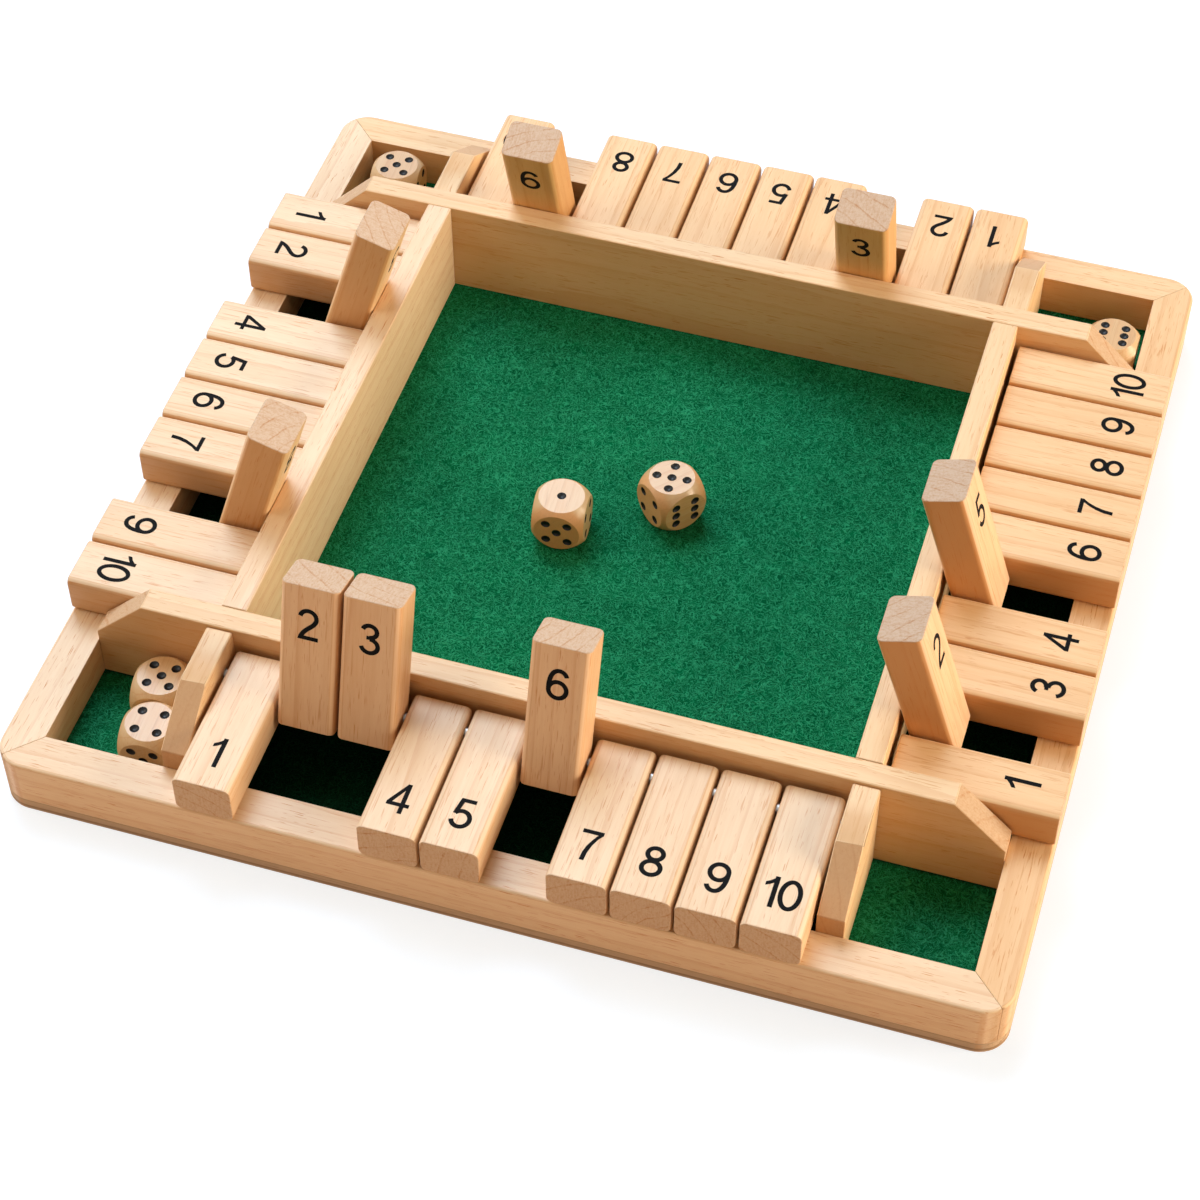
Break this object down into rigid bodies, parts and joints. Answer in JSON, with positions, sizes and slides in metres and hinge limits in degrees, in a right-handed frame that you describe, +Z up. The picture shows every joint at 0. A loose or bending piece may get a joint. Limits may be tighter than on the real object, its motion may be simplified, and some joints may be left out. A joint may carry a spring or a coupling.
{
  "type": "shut the box game",
  "caption": "Square wooden four-sided shut the box board with a felt-lined dice tray, corner dice pockets and hinged numbered tiles on every side.",
  "frame": {"origin": "centre of the bounding box at the underside of the base board", "axes": "+Z up, +Y towards the back row, +X towards the right row"},
  "size_m": [0.29, 0.29, 0.0707],
  "materials": {
    "frame_wood": "clear satin on light hardwood",
    "tile_wood": "clear satin on light hardwood, printed numbers",
    "base_plywood": "bare plywood edge",
    "green_felt": "green felt",
    "steel_rod": "drawn steel rod",
    "die_wood": "polished wood with black pips"
  },
  "bodies": {
    "frame": {"base_board": "base_plywood", "felt_lining": "green_felt", "back_rail": "frame_wood", "left_rail": "frame_wood", "front_rail": "frame_wood", "right_rail": "frame_wood", "front_wall": "frame_wood", "back_wall": "frame_wood", "left_wall": "frame_wood", "right_wall": "frame_wood", "front_dividers": "frame_wood", "back_dividers": "frame_wood", "long_row_rods": "steel_rod", "side_row_rods": "steel_rod"},
    "tile_front_02": {"tile_front_02": "tile_wood"},
    "tile_front_01": {"tile_front_01": "tile_wood"},
    "tile_front_06": {"tile_front_06": "tile_wood"},
    "tile_right_02": {"tile_right_02": "tile_wood"},
    "tile_right_10": {"tile_right_10": "tile_wood"},
    "tile_right_05": {"tile_right_05": "tile_wood"},
    "tile_back_03": {"tile_back_03": "tile_wood"},
    "tile_back_01": {"tile_back_01": "tile_wood"},
    "tile_left_08": {"tile_left_08": "tile_wood"},
    "tile_left_10": {"tile_left_10": "tile_wood"},
    "tile_front_05": {"tile_front_05": "tile_wood"},
    "die_tray_left": {"die_tray_left": "die_wood"},
    "die_tray_right": {"die_tray_right": "die_wood"},
    "die_front_left_near": {"die_front_left_near": "die_wood"},
    "die_front_left_far": {"die_front_left_far": "die_wood"},
    "die_back_left": {"die_back_left": "die_wood"},
    "die_back_right": {"die_back_right": "die_wood"},
    "tile_back_09": {"tile_back_09": "tile_wood"},
    "tile_left_03": {"tile_left_03": "tile_wood"},
    "tile_front_03": {"tile_front_03": "tile_wood"},
    "tile_back_02": {"tile_back_02": "tile_wood"},
    "tile_back_04": {"tile_back_04": "tile_wood"},
    "tile_back_05": {"tile_back_05": "tile_wood"},
    "tile_back_06": {"tile_back_06": "tile_wood"},
    "tile_back_07": {"tile_back_07": "tile_wood"},
    "tile_back_08": {"tile_back_08": "tile_wood"},
    "tile_back_10": {"tile_back_10": "tile_wood"},
    "tile_left_01": {"tile_left_01": "tile_wood"},
    "tile_left_02": {"tile_left_02": "tile_wood"},
    "tile_left_04": {"tile_left_04": "tile_wood"},
    "tile_left_05": {"tile_left_05": "tile_wood"},
    "tile_left_06": {"tile_left_06": "tile_wood"},
    "tile_left_07": {"tile_left_07": "tile_wood"},
    "tile_left_09": {"tile_left_09": "tile_wood"},
    "tile_front_04": {"tile_front_04": "tile_wood"},
    "tile_front_07": {"tile_front_07": "tile_wood"},
    "tile_front_08": {"tile_front_08": "tile_wood"},
    "tile_front_09": {"tile_front_09": "tile_wood"},
    "tile_front_10": {"tile_front_10": "tile_wood"},
    "tile_right_01": {"tile_right_01": "tile_wood"},
    "tile_right_03": {"tile_right_03": "tile_wood"},
    "tile_right_04": {"tile_right_04": "tile_wood"},
    "tile_right_06": {"tile_right_06": "tile_wood"},
    "tile_right_07": {"tile_right_07": "tile_wood"},
    "tile_right_08": {"tile_right_08": "tile_wood"},
    "tile_right_09": {"tile_right_09": "tile_wood"}
  },
  "joints": [
    {"name": "tile_front_02_hinge", "type": "hinge", "parent": "frame", "child": "tile_front_02", "pos_m": [-0.0623, -0.1036, 0.0285], "axis": [-1, 0, 0], "range_deg": [-107.4, 0]},
    {"name": "tile_front_01_hinge", "type": "hinge", "parent": "frame", "child": "tile_front_01", "pos_m": [-0.0801, -0.1036, 0.0285], "axis": [-1, 0, 0], "range_deg": [0, 106]},
    {"name": "tile_front_06_hinge", "type": "hinge", "parent": "frame", "child": "tile_front_06", "pos_m": [0.0089, -0.1036, 0.0285], "axis": [-1, 0, 0], "range_deg": [-107.4, 0]},
    {"name": "tile_right_02_hinge", "type": "hinge", "parent": "frame", "child": "tile_right_02", "pos_m": [0.1036, -0.0616, 0.0285], "axis": [0, -1, 0], "range_deg": [-107.4, 0]},
    {"name": "tile_right_10_hinge", "type": "hinge", "parent": "frame", "child": "tile_right_10", "pos_m": [0.1036, 0.0792, 0.0285], "axis": [0, -1, 0], "range_deg": [0, 106]},
    {"name": "tile_right_05_hinge", "type": "hinge", "parent": "frame", "child": "tile_right_05", "pos_m": [0.1036, -0.0088, 0.0285], "axis": [0, -1, 0], "range_deg": [-107.4, 0]},
    {"name": "tile_back_03_hinge", "type": "hinge", "parent": "frame", "child": "tile_back_03", "pos_m": [0.0445, 0.1036, 0.0285], "axis": [1, 0, 0], "range_deg": [-107.4, 0]},
    {"name": "tile_back_01_hinge", "type": "hinge", "parent": "frame", "child": "tile_back_01", "pos_m": [0.0801, 0.1036, 0.0285], "axis": [1, 0, 0], "range_deg": [0, 106]},
    {"name": "tile_left_08_hinge", "type": "hinge", "parent": "frame", "child": "tile_left_08", "pos_m": [-0.1036, -0.044, 0.0285], "axis": [0, 1, 0], "range_deg": [-107.4, 0]},
    {"name": "tile_left_10_hinge", "type": "hinge", "parent": "frame", "child": "tile_left_10", "pos_m": [-0.1036, -0.0792, 0.0285], "axis": [0, 1, 0], "range_deg": [0, 106]},
    {"name": "tile_front_05_hinge", "type": "hinge", "parent": "frame", "child": "tile_front_05", "pos_m": [-0.0089, -0.1036, 0.0285], "axis": [-1, 0, 0], "range_deg": [0, 107.4]},
    {"name": "die_tray_left_lift", "type": "slide", "parent": "frame", "child": "die_tray_left", "axis": [0, 0, 1], "range_m": [0, 0.08]},
    {"name": "die_tray_right_lift", "type": "slide", "parent": "frame", "child": "die_tray_right", "axis": [0, 0, 1], "range_m": [0, 0.08]},
    {"name": "die_front_left_near_lift", "type": "slide", "parent": "frame", "child": "die_front_left_near", "axis": [0, 0, 1], "range_m": [0, 0.08]},
    {"name": "die_front_left_far_lift", "type": "slide", "parent": "frame", "child": "die_front_left_far", "axis": [0, 0, 1], "range_m": [0, 0.08]},
    {"name": "die_back_left_lift", "type": "slide", "parent": "frame", "child": "die_back_left", "axis": [0, 0, 1], "range_m": [0, 0.08]},
    {"name": "die_back_right_lift", "type": "slide", "parent": "frame", "child": "die_back_right", "axis": [0, 0, 1], "range_m": [0, 0.08]},
    {"name": "tile_back_09_hinge", "type": "hinge", "parent": "frame", "child": "tile_back_09", "pos_m": [-0.0623, 0.1036, 0.0285], "axis": [1, 0, 0], "range_deg": [-107.4, 0]},
    {"name": "tile_left_03_hinge", "type": "hinge", "parent": "frame", "child": "tile_left_03", "pos_m": [-0.1036, 0.044, 0.0285], "axis": [0, 1, 0], "range_deg": [-107.4, 0]},
    {"name": "tile_front_03_hinge", "type": "hinge", "parent": "frame", "child": "tile_front_03", "pos_m": [-0.0445, -0.1036, 0.0285], "axis": [-1, 0, 0], "range_deg": [-107.4, 0]},
    {"name": "tile_back_02_hinge", "type": "hinge", "parent": "frame", "child": "tile_back_02", "pos_m": [0.0623, 0.1036, 0.0285], "axis": [1, 0, 0], "range_deg": [0, 107.4]},
    {"name": "tile_back_04_hinge", "type": "hinge", "parent": "frame", "child": "tile_back_04", "pos_m": [0.0267, 0.1036, 0.0285], "axis": [1, 0, 0], "range_deg": [0, 107.4]},
    {"name": "tile_back_05_hinge", "type": "hinge", "parent": "frame", "child": "tile_back_05", "pos_m": [0.0089, 0.1036, 0.0285], "axis": [1, 0, 0], "range_deg": [0, 107.4]},
    {"name": "tile_back_06_hinge", "type": "hinge", "parent": "frame", "child": "tile_back_06", "pos_m": [-0.0089, 0.1036, 0.0285], "axis": [1, 0, 0], "range_deg": [0, 107.4]},
    {"name": "tile_back_07_hinge", "type": "hinge", "parent": "frame", "child": "tile_back_07", "pos_m": [-0.0267, 0.1036, 0.0285], "axis": [1, 0, 0], "range_deg": [0, 107.4]},
    {"name": "tile_back_08_hinge", "type": "hinge", "parent": "frame", "child": "tile_back_08", "pos_m": [-0.0445, 0.1036, 0.0285], "axis": [1, 0, 0], "range_deg": [0, 107.4]},
    {"name": "tile_back_10_hinge", "type": "hinge", "parent": "frame", "child": "tile_back_10", "pos_m": [-0.0801, 0.1036, 0.0285], "axis": [1, 0, 0], "range_deg": [0, 106]},
    {"name": "tile_left_01_hinge", "type": "hinge", "parent": "frame", "child": "tile_left_01", "pos_m": [-0.1036, 0.0792, 0.0285], "axis": [0, 1, 0], "range_deg": [0, 106]},
    {"name": "tile_left_02_hinge", "type": "hinge", "parent": "frame", "child": "tile_left_02", "pos_m": [-0.1036, 0.0616, 0.0285], "axis": [0, 1, 0], "range_deg": [0, 107.4]},
    {"name": "tile_left_04_hinge", "type": "hinge", "parent": "frame", "child": "tile_left_04", "pos_m": [-0.1036, 0.0264, 0.0285], "axis": [0, 1, 0], "range_deg": [0, 107.4]},
    {"name": "tile_left_05_hinge", "type": "hinge", "parent": "frame", "child": "tile_left_05", "pos_m": [-0.1036, 0.0088, 0.0285], "axis": [0, 1, 0], "range_deg": [0, 107.4]},
    {"name": "tile_left_06_hinge", "type": "hinge", "parent": "frame", "child": "tile_left_06", "pos_m": [-0.1036, -0.0088, 0.0285], "axis": [0, 1, 0], "range_deg": [0, 107.4]},
    {"name": "tile_left_07_hinge", "type": "hinge", "parent": "frame", "child": "tile_left_07", "pos_m": [-0.1036, -0.0264, 0.0285], "axis": [0, 1, 0], "range_deg": [0, 107.4]},
    {"name": "tile_left_09_hinge", "type": "hinge", "parent": "frame", "child": "tile_left_09", "pos_m": [-0.1036, -0.0616, 0.0285], "axis": [0, 1, 0], "range_deg": [0, 107.4]},
    {"name": "tile_front_04_hinge", "type": "hinge", "parent": "frame", "child": "tile_front_04", "pos_m": [-0.0267, -0.1036, 0.0285], "axis": [-1, 0, 0], "range_deg": [0, 107.4]},
    {"name": "tile_front_07_hinge", "type": "hinge", "parent": "frame", "child": "tile_front_07", "pos_m": [0.0267, -0.1036, 0.0285], "axis": [-1, 0, 0], "range_deg": [0, 107.4]},
    {"name": "tile_front_08_hinge", "type": "hinge", "parent": "frame", "child": "tile_front_08", "pos_m": [0.0445, -0.1036, 0.0285], "axis": [-1, 0, 0], "range_deg": [0, 107.4]},
    {"name": "tile_front_09_hinge", "type": "hinge", "parent": "frame", "child": "tile_front_09", "pos_m": [0.0623, -0.1036, 0.0285], "axis": [-1, 0, 0], "range_deg": [0, 107.4]},
    {"name": "tile_front_10_hinge", "type": "hinge", "parent": "frame", "child": "tile_front_10", "pos_m": [0.0801, -0.1036, 0.0285], "axis": [-1, 0, 0], "range_deg": [0, 106]},
    {"name": "tile_right_01_hinge", "type": "hinge", "parent": "frame", "child": "tile_right_01", "pos_m": [0.1036, -0.0792, 0.0285], "axis": [0, -1, 0], "range_deg": [0, 106]},
    {"name": "tile_right_03_hinge", "type": "hinge", "parent": "frame", "child": "tile_right_03", "pos_m": [0.1036, -0.044, 0.0285], "axis": [0, -1, 0], "range_deg": [0, 107.4]},
    {"name": "tile_right_04_hinge", "type": "hinge", "parent": "frame", "child": "tile_right_04", "pos_m": [0.1036, -0.0264, 0.0285], "axis": [0, -1, 0], "range_deg": [0, 107.4]},
    {"name": "tile_right_06_hinge", "type": "hinge", "parent": "frame", "child": "tile_right_06", "pos_m": [0.1036, 0.0088, 0.0285], "axis": [0, -1, 0], "range_deg": [0, 107.4]},
    {"name": "tile_right_07_hinge", "type": "hinge", "parent": "frame", "child": "tile_right_07", "pos_m": [0.1036, 0.0264, 0.0285], "axis": [0, -1, 0], "range_deg": [0, 107.4]},
    {"name": "tile_right_08_hinge", "type": "hinge", "parent": "frame", "child": "tile_right_08", "pos_m": [0.1036, 0.044, 0.0285], "axis": [0, -1, 0], "range_deg": [0, 107.4]},
    {"name": "tile_right_09_hinge", "type": "hinge", "parent": "frame", "child": "tile_right_09", "pos_m": [0.1036, 0.0616, 0.0285], "axis": [0, -1, 0], "range_deg": [0, 107.4]}
  ]
}
